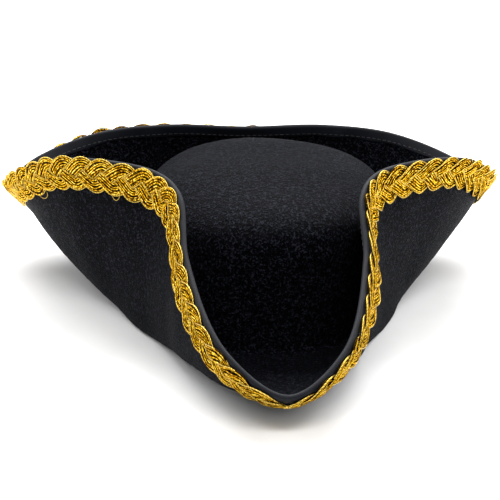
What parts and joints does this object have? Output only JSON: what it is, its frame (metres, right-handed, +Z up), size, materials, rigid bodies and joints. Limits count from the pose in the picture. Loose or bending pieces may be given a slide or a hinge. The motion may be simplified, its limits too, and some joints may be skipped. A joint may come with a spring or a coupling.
{
  "type": "pirate tricorn hat",
  "caption": "Three-cornered pirate hat in black felt: domed crown, brim folded up on all sides with a wired, bound edge and gold braid, and an inner sweatband with a swinging blank label.",
  "frame": {"origin": "the middle of the underside of the hat's bounding box, on the surface it stands on", "axes": "+Z up through the crown, -Y towards the front corner, +X towards the wearer's left rear corner"},
  "size_m": [0.3528, 0.3676, 0.1098],
  "materials": {
    "felt": "short-fibred pressed wool felt, soft sheen",
    "binding_tape": "smooth satin-like binding tape",
    "black_thread": "twisted sewing thread",
    "gold_thread": "metallised sewing thread",
    "spring_wire": "drawn spring wire",
    "gold_braid": "plaited metallised cords, glittering",
    "sweatband": "ribbed grosgrain",
    "label": "woven satin tape, blank"
  },
  "bodies": {
    "hat": {"crown_felt": "felt", "brim_felt": "felt", "edge_binding": "binding_tape", "binding_thread": "black_thread", "brim_wire": "spring_wire", "wire_joiner": "spring_wire", "gold_braid": "gold_braid", "braid_end_thread": "gold_thread", "sweatband": "sweatband", "sweatband_thread": "black_thread", "sweatband_join_thread": "black_thread", "label_thread": "black_thread"},
    "label": {"care_label": "label"}
  },
  "joints": [
    {"name": "label_swing", "type": "hinge", "parent": "hat", "child": "label", "pos_m": [0.0001, 0.13816, 0.027], "axis": [-1, 0, 0], "range_deg": [0, 150]}
  ]
}
